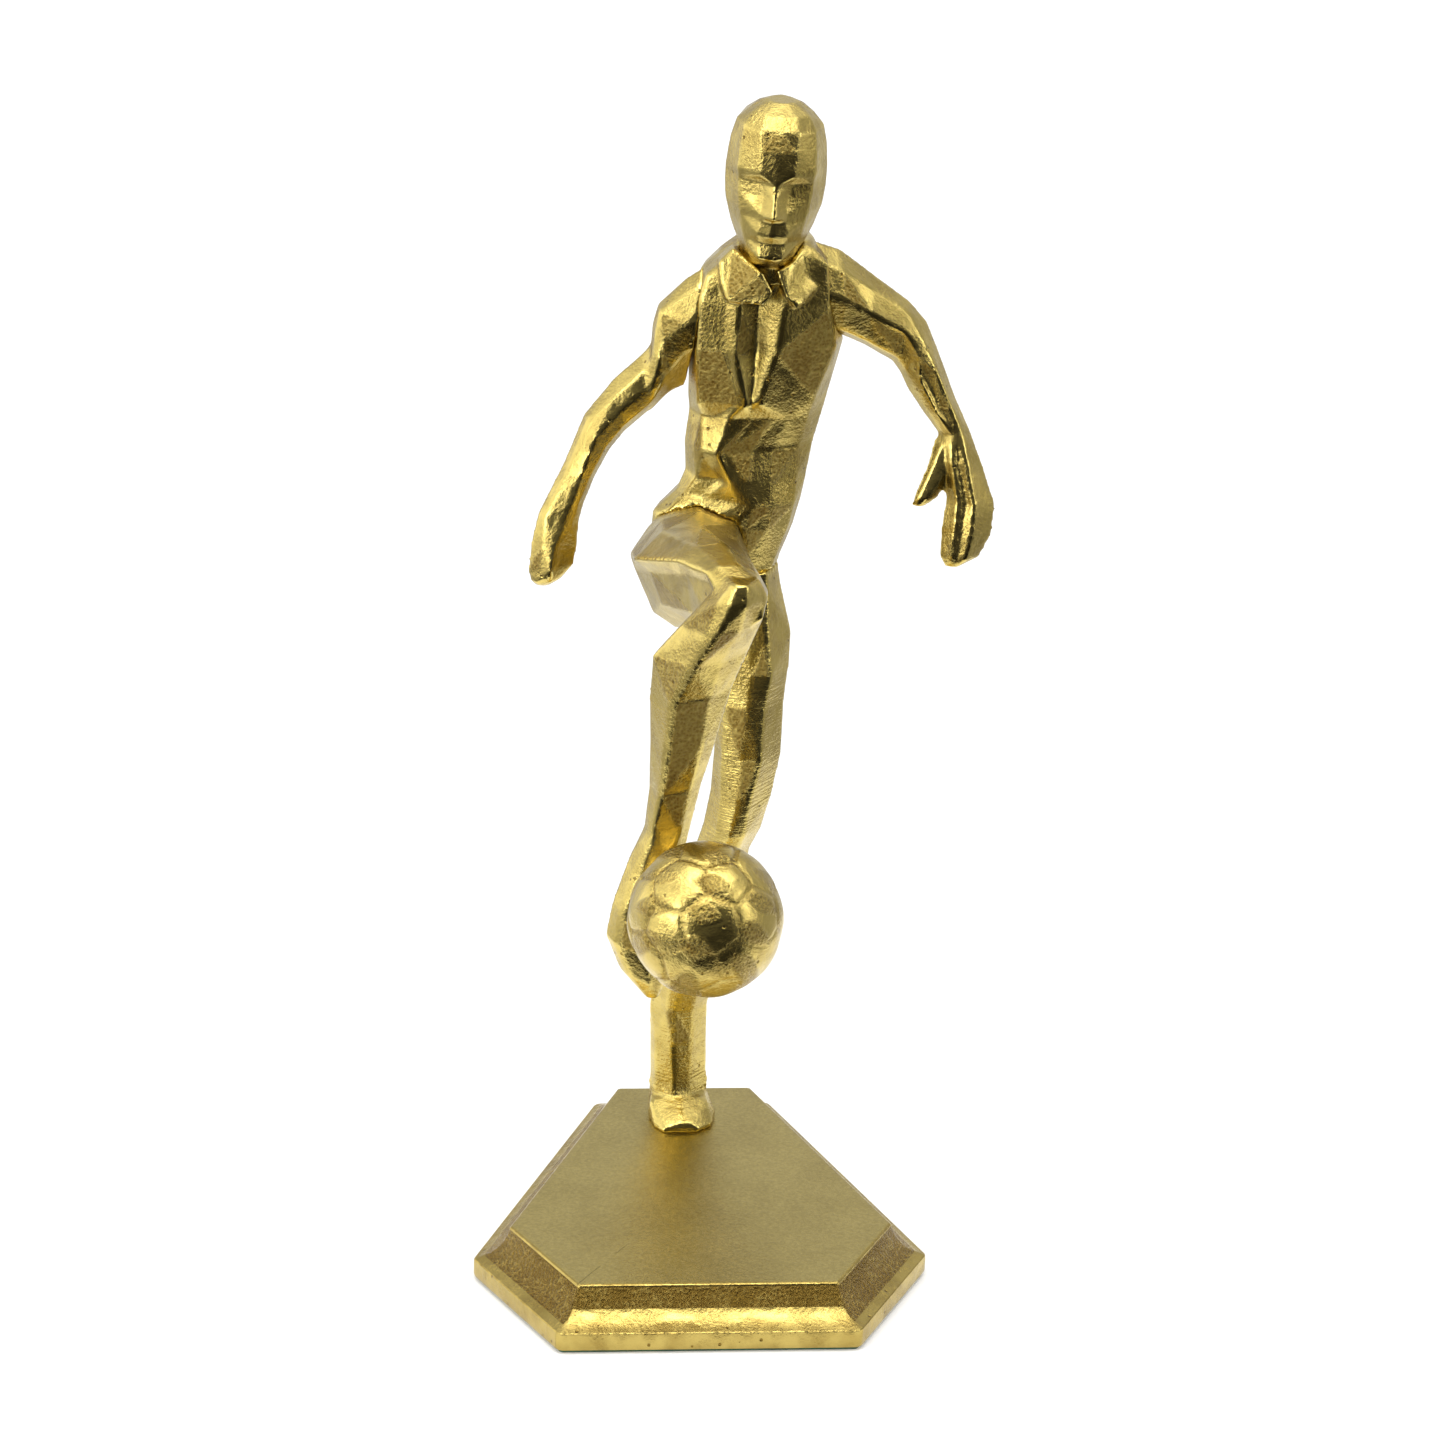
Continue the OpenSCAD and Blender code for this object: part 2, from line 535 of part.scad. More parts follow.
module standing_leg() {
    color(gold)
        difference() {
            figure()
                union() {
                    intersection() {
                        loft([
                            slice([4, 216], [22, 216], 38,
                                [[0, 0], [0.2, -7], [0.5, -9.5], [0.8, -9],
                                 [1, 0], [0.85, 9], [0.5, 12], [0.15, 9]]),
                            slice([5, 204], [24.5, 203], 37,
                                [[0, 0], [0.2, -7], [0.5, -10],
                                 [0.75, -9.5], [1, 0], [0.85, 9], [0.5, 12], [0.15, 9]]),
                            slice([5, 189], [28, 188], 34.5,
                                [[0, 0], [0.15, -7], [0.4, -9.5],
                                 [0.65, -10.5], [1, 0], [0.85, 9], [0.5, 12], [0.15, 9]]),
                            slice([4.5, 178], [27.5, 178], 33,
                                [[0, 0], [0.2, -8], [0.45, -10.5],
                                 [0.72, -10.5], [1, 0], [0.85, 8.5], [0.5, 12], [0.15, 9]]),
                            slice([4, 167], [26, 167], 31.5,
                                [[0, 0], [0.15, -7.5], [0.45, -11],
                                 [0.68, -10.5], [1, -1], [0.85, 8], [0.5, 11.5], [0.15, 8.5]]),
                            slice([4.5, 152], [25.5, 150], 30,
                                [[0, 0], [0.1, -8], [0.35, -11], [0.65, -11.5],
                                 [1, -1], [0.85, 7.5], [0.5, 10.5], [0.15, 8]]),
                            slice([3.5, 138], [23, 138], 29,
                                [[0, 0], [0.15, -8], [0.4, -11.5],
                                 [0.6, -11.5], [1, -1], [0.85, 7], [0.5, 10], [0.15, 7.5]]),
                            slice([1.5, 127], [20, 126], 28.5,
                                [[0, 0], [0.2, -8.5], [0.4, -12],
                                 [0.65, -11], [1, 0], [0.85, 7], [0.5, 10], [0.15, 7.5]]),
                            slice([-1, 118], [16.5, 118], 30,
                                [[0, 0], [0.2, -7], [0.45, -10], [0.7, -8.5],
                                 [1, 0], [0.85, 8], [0.5, 11.5], [0.15, 8]]),
                            slice([-6, 98], [15.5, 98], 37,
                                [[0, 0], [0.2, -7.5], [0.5, -10], [0.75, -8],
                                 [1, 0], [0.85, 9.5], [0.5, 13.5], [0.15, 9.5]]),
                            slice([-11, 76], [10, 76], 45,
                                [[0, 0], [0.2, -6.5], [0.5, -9], [0.75, -7],
                                 [1, 0], [0.85, 9], [0.5, 12.5], [0.15, 9]]),
                            slice([-12.8, 56], [6, 56], 50,
                                [[0, 0], [0.27, -6.5], [0.4, -7.5],
                                 [0.72, -5.5], [1, 0], [0.85, 7.5], [0.5, 10], [0.15, 7.5]]),
                            slice([-12.5, 44], [6.2, 44], 52,
                                [[0, 0], [0.08, -4], [0.37, -8], [0.72, -6],
                                 [1, 0], [0.85, 6.5], [0.5, 9], [0.15, 6.5]]),
                            slice([-12.2, 30], [6.4, 30], 53,
                                [[0, 0], [0.08, -4.5], [0.4, -8.5],
                                 [0.68, -6.5], [1, 0], [0.85, 6], [0.5, 8.5], [0.15, 6]]),
                            slice([-12.6, 20], [7, 20], 53,
                                [[0, 0], [0.08, -4.5], [0.4, -8.5],
                                 [0.72, -6.5], [1, 0], [0.85, 6], [0.5, 8.5], [0.15, 6]])
                        ]);
                        beyond(standing_hip, standing_hip_facing, 260);
                    }
                    loft([
                        upright(65,
                            [[-8, 18.5], [-6, 22], [-2.5, 23],
                             [1, 22], [4, 18.5], [4, 17.5], [-8, 17.5]]),
                        upright(57,
                            [[-12, 19], [-11, 24], [-3, 26],
                             [5.5, 24], [8, 19], [8, 17.5], [-12, 17.5]]),
                        upright(45,
                            [[-13, 19], [-12.5, 23.5], [-3, 26],
                             [6, 23.5], [9, 19.5], [9, 17.5], [-13, 17.5]]),
                        upright(37.5,
                            [[-11.5, 18.5], [-10, 20.5], [-2.5, 23],
                             [3.5, 21.5], [7.5, 19], [7, 17.5], [-11.5, 17.5]]),
                        upright(33.5,
                            [[-9, 18.2], [-8, 19], [-3, 20.5],
                             [0.5, 20.5], [3, 18.8], [2.5, 17.5], [-9, 17.5]])
                    ]);
                }
            standing_hip_pin(pin_play);
            translate([stud_at[0], stud_at[1], base_top - 1])
                cylinder(h = stud_up + 1 + pin_play, d = stud_diameter + 2 * pin_play);
            translate([foot_pin_at[0], foot_pin_at[1], base_top - 1])
                cylinder(h = foot_pin_up + 1 + pin_play, d = foot_pin_diameter + 2 * pin_play);
        }
}

module kicking_leg_casting() {
    union() {
        intersection() {
            loft([
                upright(38,
                    [[-21, 214], [-14, 225], [-3, 230], [9, 226], [13, 212],
                     [8, 199], [-7, 193], [-15, 197], [-20, 207]]),
                upright(20,
                    [[-23, 217.5], [-13.5, 228], [-2, 231], [9, 227], [14, 215],
                     [9, 202], [-8.5, 194], [-15.7, 199], [-21.5, 213]]),
                upright(2,
                    [[-22.6, 221.5], [-14.5, 230], [-2.5, 232], [8.5, 226.5],
                     [13, 217], [8, 205], [-5, 202], [-14, 207], [-17.7, 217.5]]),
                upright(-24,
                    [[-11.5, 229], [-6, 233.5], [2, 234.5], [10, 229.5],
                     [13.5, 222], [10, 211], [0, 208], [-6.5, 213], [-8.4, 225]]),
                upright(-40,
                    [[-4, 230.5], [-0.5, 232.5], [5, 233], [11, 230.5],
                     [14, 225], [12, 215], [5, 211], [-3, 215], [-2.4, 227.5]]),
                upright(-47,
                    [[0, 227], [2, 229.5], [6, 230.5], [11, 229.5],
                     [13, 226], [12, 219], [6, 215], [1, 218], [0, 223]])
            ]);
            beyond(kicking_hip, kicking_hip_facing, 200);
        }
        loft([
            slice([1.5, 231], [11, 230.5], -45,
                [[0, 0], [0.15, -6.5], [0.3, -8], [0.6, -7.5], [1, 0], [0.8, 5], [0.5, 6], [0.2, 5]]),
            slice([-2.5, 225.5], [13.6, 225], -43,
                [[0, 0], [0.1, -8], [0.3, -11], [0.58, -11], [1, -3], [0.8, 6], [0.5, 8], [0.2, 6]]),
            slice([-10.5, 215], [12.3, 217], -39,
                [[0, 0], [0.28, -11], [0.41, -13.5], [0.7, -11.5],
                 [1, -4], [0.8, 7], [0.5, 10], [0.2, 9]]),
            slice([-18.5, 203.5], [9, 206], -34,
                [[0, 0], [0.34, -12], [0.43, -14], [0.7, -11], [1, -4], [0.8, 8], [0.5, 12], [0.2, 9]]),
            slice([-19, 190.5], [4.8, 194], -31,
                [[0, 0], [0.21, -10], [0.29, -11.5], [0.72, -10.5],
                 [1, -4], [0.8, 7.5], [0.5, 11.5], [0.2, 9]]),
            slice([-18.6, 175], [1, 178], -28.5,
                [[0, 0], [0.18, -9], [0.25, -10.5], [0.76, -9.5],
                 [1, -4], [0.8, 6.5], [0.5, 10], [0.2, 8]]),
            slice([-18.4, 160], [-3.2, 162], -26.5,
                [[0, 0], [0.14, -7.5], [0.22, -9], [0.76, -8],
                 [1, -3.5], [0.8, 5.5], [0.5, 8], [0.2, 6.5]]),
            slice([-19.5, 148], [-5.8, 149], -26,
                [[0, 0], [0.05, -5], [0.15, -8], [0.76, -7.2],
                 [1, -3], [0.8, 5], [0.5, 7.5], [0.2, 6]]),
            slice([-24.5, 137], [-9, 134], -27.5,
                [[0, 0], [0.12, -5], [0.25, -7], [0.6, -8], [1, -2], [0.8, 5], [0.5, 6.5], [0.2, 5]]),
            slice([-29, 124], [-11, 121], -29,
                [[0, 0], [0.12, -5], [0.2, -6.5], [0.6, -7], [1, -2], [0.8, 5], [0.5, 6], [0.2, 5]]),
            slice([-30.8, 114.5], [-12, 109], -29.5,
                [[0, 0], [0.12, -4.5], [0.22, -6], [0.6, -7],
                 [1, -2], [0.8, 5], [0.5, 5.5], [0.2, 4.5]]),
            slice([-26.5, 104], [-13, 99], -30,
                [[0, 0], [0.15, -3.5], [0.3, -5], [0.65, -5.5],
                 [1, -2], [0.8, 4.5], [0.5, 4.5], [0.2, 4]]),
            slice([-19, 95], [-14.5, 94.5], -30,
                [[0, 0], [0.2, -2.5], [0.4, -3], [0.7, -3], [1, -1], [0.8, 2.5], [0.5, 3], [0.2, 2]])
        ]);
    }
}

module kicking_leg() {
    color(gold)
        difference() {
            figure() kicking_leg_casting();
            translate(ball_middle()) sphere(r = ball_radius + pin_play);
            kicking_hip_pin(pin_play);
            ball_pin(pin_play);
        }
}

base_plate();
felt_sheet();
foot_stud();
foot_washer();
foot_nut();
foot_pin();
standing_leg();
kicking_leg();
torso();
head();
right_arm();
left_arm();
ball();
standing_hip_pin();
kicking_hip_pin();
neck_pin();
right_shoulder_pin();
left_shoulder_pin();
ball_pin();
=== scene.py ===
# %% [markdown]
# # A faceted gold-toned football trophy
# A cast-metal footballer stands on one leg on a six-sided base, with a ball at the raised boot.
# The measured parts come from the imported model, and this lesson gives them the surface of real
# sand-cast, hand-ground and polished metal. Everything is in metres, with +Z up.

# %% Load the measured parts
import json
import math
import random
import bpy
import numpy as np
from mathutils import Matrix, Vector
from mathutils.bvhtree import BVHTree

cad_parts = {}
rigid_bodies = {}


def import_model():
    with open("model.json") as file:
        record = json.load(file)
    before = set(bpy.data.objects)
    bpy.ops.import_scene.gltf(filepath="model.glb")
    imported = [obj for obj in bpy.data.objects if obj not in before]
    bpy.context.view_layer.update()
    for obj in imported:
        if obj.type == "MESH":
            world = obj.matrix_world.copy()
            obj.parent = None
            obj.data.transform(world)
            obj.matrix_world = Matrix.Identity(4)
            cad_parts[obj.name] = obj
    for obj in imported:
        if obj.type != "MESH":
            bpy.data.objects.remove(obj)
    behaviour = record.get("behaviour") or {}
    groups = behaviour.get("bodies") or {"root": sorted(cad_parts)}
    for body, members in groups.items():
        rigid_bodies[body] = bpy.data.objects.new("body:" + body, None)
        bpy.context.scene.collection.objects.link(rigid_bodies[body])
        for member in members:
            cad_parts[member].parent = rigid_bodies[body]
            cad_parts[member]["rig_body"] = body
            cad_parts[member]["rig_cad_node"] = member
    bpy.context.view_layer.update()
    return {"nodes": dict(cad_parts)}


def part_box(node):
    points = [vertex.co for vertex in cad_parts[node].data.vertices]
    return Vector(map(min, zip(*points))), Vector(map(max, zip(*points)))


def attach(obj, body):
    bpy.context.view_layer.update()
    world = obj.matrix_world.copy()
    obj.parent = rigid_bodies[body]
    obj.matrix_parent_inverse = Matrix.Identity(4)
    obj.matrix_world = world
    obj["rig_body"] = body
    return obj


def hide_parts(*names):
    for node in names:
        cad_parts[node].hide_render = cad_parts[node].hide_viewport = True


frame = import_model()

nodes = frame["nodes"]
mm = 0.001
scene = bpy.context.scene

# %% [markdown]
# ## The camera
# A long lens from a little above the figure keeps the upright lines nearly parallel. The camera
# stands about a metre in front, slightly to the left, and is tipped a touch clockwise.

# %% Place the camera
yaw, pitch, roll = math.radians(-4.23), math.radians(19.84), math.radians(1.47)
camera_place = Vector((-0.0703, -1.0153, 0.5381))
level_forward = Vector((-math.sin(yaw), math.cos(yaw), 0))
forward = level_forward * math.cos(pitch) - Vector((0, 0, math.sin(pitch)))
level_right = Vector((math.cos(yaw), math.sin(yaw), 0))
level_up = level_right.cross(forward)
right = level_right * math.cos(roll) + level_up * math.sin(roll)
up = level_up * math.cos(roll) - level_right * math.sin(roll)
camera_data = bpy.data.cameras.new("camera")
camera_data.lens = 89.7
camera_data.sensor_width = 36
camera_data.clip_start = 50 * mm
camera = bpy.data.objects.new("camera", camera_data)
scene.collection.objects.link(camera)
turn = Matrix((right, up, -forward)).transposed()
camera.matrix_world = Matrix.Translation(camera_place) @ turn.to_4x4()
scene.camera = camera
print("camera at", [round(v, 3) for v in camera_place])

# %% [markdown]
# ## Writing shader maths as plain sums
# A shader is a net of small nodes. Typing `mask * 0.3 + 0.1` is far easier to read than four
# linked boxes, so this helper wraps a node's output and turns each + or * into a Math node.

# %% A small helper for shader sums
class Wire:
    def __init__(self, tree, socket):
        self.tree, self.socket = tree, socket

    def maths(self, operation, other, swapped=False):
        pair = (other, self) if swapped else (self, other)
        box = self.tree.nodes.new("ShaderNodeMath")
        box.operation = operation
        for place, value in enumerate(pair):
            plug(self.tree, box.inputs[place], value)
        return Wire(self.tree, box.outputs[0])

    def __add__(self, other): return self.maths("ADD", other)
    def __radd__(self, other): return self.maths("ADD", other, swapped=True)
    def __sub__(self, other): return self.maths("SUBTRACT", other)
    def __rsub__(self, other): return self.maths("SUBTRACT", other, swapped=True)
    def __mul__(self, other): return self.maths("MULTIPLY", other)
    def __rmul__(self, other): return self.maths("MULTIPLY", other, swapped=True)

    def at_most(self, limit): return self.maths("MINIMUM", limit)
    def at_least(self, limit): return self.maths("MAXIMUM", limit)

    def between(self, low, high):
        return add_node(self.tree, "ShaderNodeMapRange",
                        {"interpolation_type": "SMOOTHSTEP"},
                        Value=self, **{"From Min": low, "From Max": high})


def plug(tree, socket, value):
    if isinstance(value, Wire):
        tree.links.new(value.socket, socket)
    else:
        socket.default_value = value


def add_node(tree, kind, settings=None, output=0, **inputs):
    box = tree.nodes.new(kind)
    for name, value in (settings or {}).items():
        setattr(box, name, value)
    for name, value in inputs.items():
        plug(tree, box.inputs[name.replace("_", " ") if name not in box.inputs else name], value)
    return Wire(tree, box.outputs[output])


def start_material(name):
    material = bpy.data.materials.new(name)
    material.use_nodes = True
    tree = material.node_tree
    tree.nodes.clear()
    shader = tree.nodes.new("ShaderNodeBsdfPrincipled")
    end = tree.nodes.new("ShaderNodeOutputMaterial")
    tree.links.new(shader.outputs[0], end.inputs["Surface"])
    place = add_node(tree, "ShaderNodeTexCoord", output=3)
    return material, tree, shader, place


def mixed(tree, factor, first, second):
    box = tree.nodes.new("ShaderNodeMix")
    box.data_type = "RGBA"
    plug(tree, box.inputs[0], factor)
    plug(tree, box.inputs[6], first)
    plug(tree, box.inputs[7], second)
    return Wire(tree, box.outputs[2])


def noise(tree, place, size, detail=3.0, roughness=0.5):
    return add_node(tree, "ShaderNodeTexNoise", Vector=place, Scale=1 / size,
                    Detail=detail, Roughness=roughness)


def cells(tree, place, size, smoothness=0.6):
    return add_node(tree, "ShaderNodeTexVoronoi", {"feature": "SMOOTH_F1"},
                    Vector=place, Scale=1 / size, Smoothness=smoothness)


print("shader helper ready")

# %% [markdown]
# ## Gold-toned cast metal
# Molten metal takes the pebbly skin of its sand mould. The maker then grinds the ridges and
# polishes them, so bright strips run beside darker hollows that keep the sand's grain; the strips'
# brightness is partly that polish and partly a highlight painted into their colour. A painted
# attribute called `grain` says how much of the sand skin is left at each place, from 0 to 1.

# %% Mix the cast metal
gold_bright = (0.63, 0.49, 0.145, 1)
gold_deep = (0.22, 0.14, 0.028, 1)


def cast_metal(name, sand_left=0.12, polish=0.13, filed=0.0, painted_shade=0.0, depth=0.42 * mm):
    """Gold-toned metal. sand_left adds sand skin all over, polish is the roughness where it is
    rubbed, filed adds the strokes of a file, the darkening after it is painted shade laid evenly over the
    whole colour, and depth is the relief's height."""
    material, tree, shader, place = start_material(name)
    grain = add_node(tree, "ShaderNodeAttribute", {"attribute_name": "grain"}, output=2)
    ridge = add_node(tree, "ShaderNodeAttribute", {"attribute_name": "ridge"}, output=2)
    patches = noise(tree, place, 7 * mm, 2.0).between(0.35, 0.65)
    sand = ((grain + sand_left + patches * 0.25) * (1 - ridge * 0.9)).at_most(1.0)
    pebbles = cells(tree, place, 0.95 * mm)
    fine = noise(tree, place, 0.42 * mm, 4.0, 0.65)
    cloud = noise(tree, place, 9 * mm, 3.0)
    wisps = noise(tree, place, 2.2 * mm, 4.0, 0.62)
    pit = 1 - cells(tree, place, 5.5 * mm, 0.1).between(0.05, 0.12)
    height = (pebbles * 0.9 + fine * 0.7) * sand + wisps * 0.2 + fine * 0.08 - pit * 0.35
    if filed:
        drawn_out = add_node(tree, "ShaderNodeMapping", Vector=place, Scale=(0.12, 0.12, 1.6))
        height = height + noise(tree, drawn_out, 1.1 * mm, 2.0) * filed
    bump = add_node(tree, "ShaderNodeBump", Strength=1.0, Distance=depth, Height=height)
    hollows = (1 - pebbles) * 0.7 + (1 - fine) * 0.5
    # Sand hollows, casting pits and cloudy patches are the metal's own stains; subtracting ridge lightens
    # the ridges' colour, partly as polish wear and partly as a painted highlight; the last term darkens
    # the whole colour evenly as painted shade.
    stain_and_painted_light = sand * hollows + cloud.between(0.42, 0.72) * 0.25 + pit * 0.7 - ridge * 0.3 + painted_shade
    stain_and_painted_light = stain_and_painted_light.at_most(1.0).at_least(0.0)
    plug(tree, shader.inputs["Base Color"], mixed(tree, stain_and_painted_light, gold_bright, gold_deep))
    plug(tree, shader.inputs["Roughness"], sand * 0.11 + wisps * 0.12 + polish - ridge * 0.05)
    plug(tree, shader.inputs["Metallic"], 1.0)
    plug(tree, shader.inputs["Normal"], bump)
    return material


cast = cast_metal("cast_metal")
filed_cast = cast_metal("filed_metal", filed=0.5)
print("cast metal has", len(cast.node_tree.nodes), "nodes")

# %% [markdown]
# ## The castings
# Each body part comes as sharp flat facets. Real facets meet in soft, slightly rounded ridges,
# because the sand mould and the polishing wheel never leave a knife edge. Bevelling hundreds of
# uneven facets by hand is slow, so each casting is copied, its loose triangles are joined, the
# skin is rebuilt from small even squares, and a little smoothing rounds every ridge alike.

# %% Copy a casting and press a modifier into it
def only(piece):
    bpy.ops.object.select_all(action="DESELECT")
    piece.select_set(True)
    bpy.context.view_layer.objects.active = piece


def copy_of(node, name):
    piece = nodes[node].copy()
    piece.data = nodes[node].data.copy()
    piece.name = piece.data.name = name
    piece.parent = None
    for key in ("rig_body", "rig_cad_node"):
        del piece[key]
    scene.collection.objects.link(piece)
    only(piece)
    bpy.ops.object.mode_set(mode="EDIT")
    bpy.ops.mesh.select_all(action="SELECT")
    bpy.ops.mesh.remove_doubles(threshold=0.002 * mm)
    bpy.ops.object.mode_set(mode="OBJECT")
    return piece


def press(piece, kind, **settings):
    only(piece)
    step = piece.modifiers.new(kind.lower(), kind)
    for name, value in settings.items():
        setattr(step, name, value)
    bpy.ops.object.modifier_apply(modifier=step.name)


ground = bpy.data.textures.new("ground_by_hand", "CLOUDS")
ground.noise_scale = 14 * mm
ground.noise_depth = 2
print("the unevenness of hand grinding repeats every", round(ground.noise_scale / mm), "mm")

# %% [markdown]
# ### Where the sand grain stays
# Some facets are ground clean and others keep the mould's grain, with a sharp change between
# them. Painting this by hand would be slow, so each point looks up the flat facet that it came
# from: facets named by a place on them are rough, and so is a share, drawn by dice, of those that
# do not face the front. All the triangles of one facet share its direction and its distance, and
# that pair is its key.

# %% Paint the sand grain
sandy_share = 0.45
frontward_limit = -0.1    # facets that face the front more than this are rough only when named


def edge_ends(mesh):
    ends = np.zeros(len(mesh.edges) * 2, int)
    mesh.edges.foreach_get("vertices", ends)
    return ends.reshape(-1, 2), np.bincount(ends, minlength=len(mesh.vertices))


def neighbour_mean(value, ends, touching, keep=0):
    total = np.bincount(ends[:, 0], value[ends[:, 1]], len(value))
    total += np.bincount(ends[:, 1], value[ends[:, 0]], len(value))
    return (keep * value + total) / (keep + touching)


def store(mesh, name, value):
    layer = mesh.attributes.new(name, "FLOAT", "POINT")
    layer.data.foreach_set("value", value.astype(np.float32))


def facet_keys(piece):
    keys = []
    for face in piece.data.polygons:
        n = face.normal
        away = n.dot(face.center)
        keys.append((round(n.x, 2), round(n.y, 2), round(n.z, 2), round(away / mm)))
    return keys


def paint_grain(piece, skin, keys, rough_places):
    """Marks the facets that keep the sand grain: those named by place, and a share of the others."""
    rough = set()
    for x, z in rough_places:
        hit = skin.ray_cast(Vector((x * mm, -0.4, z * mm)), Vector((0, 1, 0)))
        if hit[2] is not None:
            rough.add(keys[hit[2]])
    dice = random.Random(7)
    for key in sorted(set(keys)):
        if key[1] > frontward_limit and dice.random() < sandy_share:
            rough.add(key)
    mesh = piece.data
    value = np.array([keys[skin.find_nearest(v.co)[2]] in rough for v in mesh.vertices], float)
    ends, touching = edge_ends(mesh)
    for _ in range(2):
        value = neighbour_mean(value, ends, touching, keep=1)
    store(mesh, "grain", value)
    return float(value.mean())


print("share of unnamed facets that stay sandy:", sandy_share)

# %% [markdown]
# ### Ridges and solder beads
# The polishing wheel touches only what stands out, so each point is compared with the middle of
# its neighbours: a point in front of them is on a ridge, where the metal is smoother, keeps less
# grain and has its colour lightened, partly as polish wear and partly as a painted highlight. At
# the hips and the ankle the castings were soldered, which leaves an uneven bead round the seam.

# %% Paint the ridges and lay the beads
def places_and_facings(mesh):
    place, facing = np.zeros(len(mesh.vertices) * 3), np.zeros(len(mesh.vertices) * 3)
    mesh.vertices.foreach_get("co", place)
    mesh.vertex_normals.foreach_get("vector", facing)
    return place.reshape(-1, 3), facing.reshape(-1, 3)


def paint_ridges(piece):
    """Marks the outward ridges, where the polishing wheel has smoothed the metal; the shader lightens
    their colour, partly as polish wear and partly as a painted highlight.
    """
    mesh = piece.data
    place, facing = places_and_facings(mesh)
    ends, touching = edge_ends(mesh)
    middle = np.stack([neighbour_mean(place[:, i], ends, touching) for i in range(3)], axis=1)
    stands_out = ((place - middle) * facing).sum(axis=1) / mm
    for _ in range(2):
        stands_out = neighbour_mean(stands_out, ends, touching, keep=2)
    store(mesh, "ridge", np.clip(stands_out / 0.035 - 0.25, 0, 1))
    return float((stands_out > 0.03).mean())


def lay_bead(piece, point, across, width, wander):
    """Raises an uneven bead of solder where the plane through point cuts the casting's skin."""
    place, facing = places_and_facings(piece.data)
    place_mm = place / mm
    x, y, z = place_mm.T
    off = (place_mm - np.array(point)) @ np.array(Vector(across).normalized())
    off -= wander * (0.5 * np.sin(0.9 * x + 0.5 * z) + 0.4 * np.sin(1.3 * y + 1))
    lump = 0.32 + 0.16 * np.sin(2.6 * x + 1.7 * y + 2.1 * z)
    raised = lump * mm * np.exp(-(off / width) ** 2)
    piece.data.vertices.foreach_set("co", (place + facing * raised[:, None]).ravel())
    piece.data.update()


print("ridge and bead tools ready")

# %% [markdown]
# ### One casting from start to finish
# The sharp copy gives the facets' keys, and is then rebuilt in small squares, softened, made a
# little uneven, beaded and painted. It stands in for the measured part, which stays hidden.

# %% The steps of a casting
def casting(node, rough_places, square=0.7 * mm, soften=3, uneven=0.35 * mm, metal=cast, beads=()):
    piece = copy_of(node, f"{node}_cast")
    keys = facet_keys(piece)
    skin = BVHTree.FromPolygons([v.co.copy() for v in piece.data.vertices],
                                [tuple(f.vertices) for f in piece.data.polygons])
    press(piece, "REMESH", mode="VOXEL", voxel_size=square, adaptivity=0)
    press(piece, "SMOOTH", factor=0.5, iterations=soften)
    press(piece, "DISPLACE", texture=ground, strength=uneven, mid_level=0.55, texture_coords="LOCAL")
    for bead in beads:
        lay_bead(piece, *bead)
    only(piece)
    bpy.ops.object.shade_smooth()
    left = paint_grain(piece, skin, keys, rough_places)
    paint_ridges(piece)
    piece.data.materials.clear()
    piece.data.materials.append(metal)
    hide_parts(node)
    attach(piece, "root")
    print(f"{piece.name}: {len(piece.data.polygons)} faces, sand grain on {left:.0%}")


# %% Cast the six body parts
# The rough places are (x, z) pairs in millimetres, met from straight in front. A bead is a point
# on the seam, the direction across it, its half-width and how far it wanders, in millimetres.
hip_seam, hip_facing = (15, 38, 208), (0.25, 0, -1)
hip_bead = (hip_seam, hip_facing, 1.4, 0)
ankle_bead = ((0, 0, 26.5), (0, 0, 1), 1.3, 1)
casting("torso", [(10, 300), (6, 303), (27, 281), (30, 272), (2, 268), (10, 283), (8, 253),
                  (14, 254), (20, 243), (12, 243), (-3, 252), (14, 230), (20, 226), (16, 222)],
        beads=[hip_bead])
casting("head", [(18, 345), (14, 342)], square=0.6 * mm, soften=2, uneven=0.2 * mm)
casting("right_arm", [(-12, 285), (-14, 278), (-52, 214), (-13, 294)])
casting("left_arm", [(52, 284), (64, 275), (70, 268), (78, 243), (80, 236), (75, 225), (40, 300)],
        square=0.65 * mm)
casting("standing_leg", [(12, 160), (14, 150), (-6, 54), (-4, 50), (16, 180)],
        metal=filed_cast, beads=[ankle_bead, hip_bead])
casting("kicking_leg", [(-8, 190), (-9, 175), (-10, 160), (-14, 210), (-16, 200), (-4, 210),
                        (-20, 112), (-4, 222)])

# %% [markdown]
# ## The base
# The base is a six-sided casting with an upright rim, a hollow curve (a cove) and a flat top. It
# is drawn as a flat outline, its corners are rounded, and it is then raised in short steps that
# follow a shallow hollow arc. Doing it by extruding and scaling keeps every side true.

# %% Raise the base
felt_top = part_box("base_plate")[0].z
half_width, half_depth = 70 * mm, 77.5 * mm    # to the sharp corners, before they are rounded
corners = [(-0.6428, -1), (0.6428, -1), (1, -0.3935), (0.4142, 1), (-0.4142, 1), (-1, -0.3935)]


def outline(shrink, rounding, steps=6):
    """The six corners moved inwards by shrink, each turned into a short arc."""
    points = [Vector((half_width * x, half_depth * y)) for x, y in corners]
    ring = []
    for i, corner in enumerate(points):
        back = (points[i - 1] - corner).normalized()
        ahead = (points[(i + 1) % 6] - corner).normalized()
        sine = math.sqrt((1 - back.dot(ahead)) / 2)
        way = (back + ahead).normalized()
        centre = corner + way * (shrink + rounding) / sine
        spread = math.acos(sine)
        facing = math.atan2(-way.y, -way.x)
        for s in range(steps + 1):
            a = facing + spread * (2 * s / steps - 1)
            ring.append(centre + rounding * Vector((math.cos(a), math.sin(a))))
    return ring


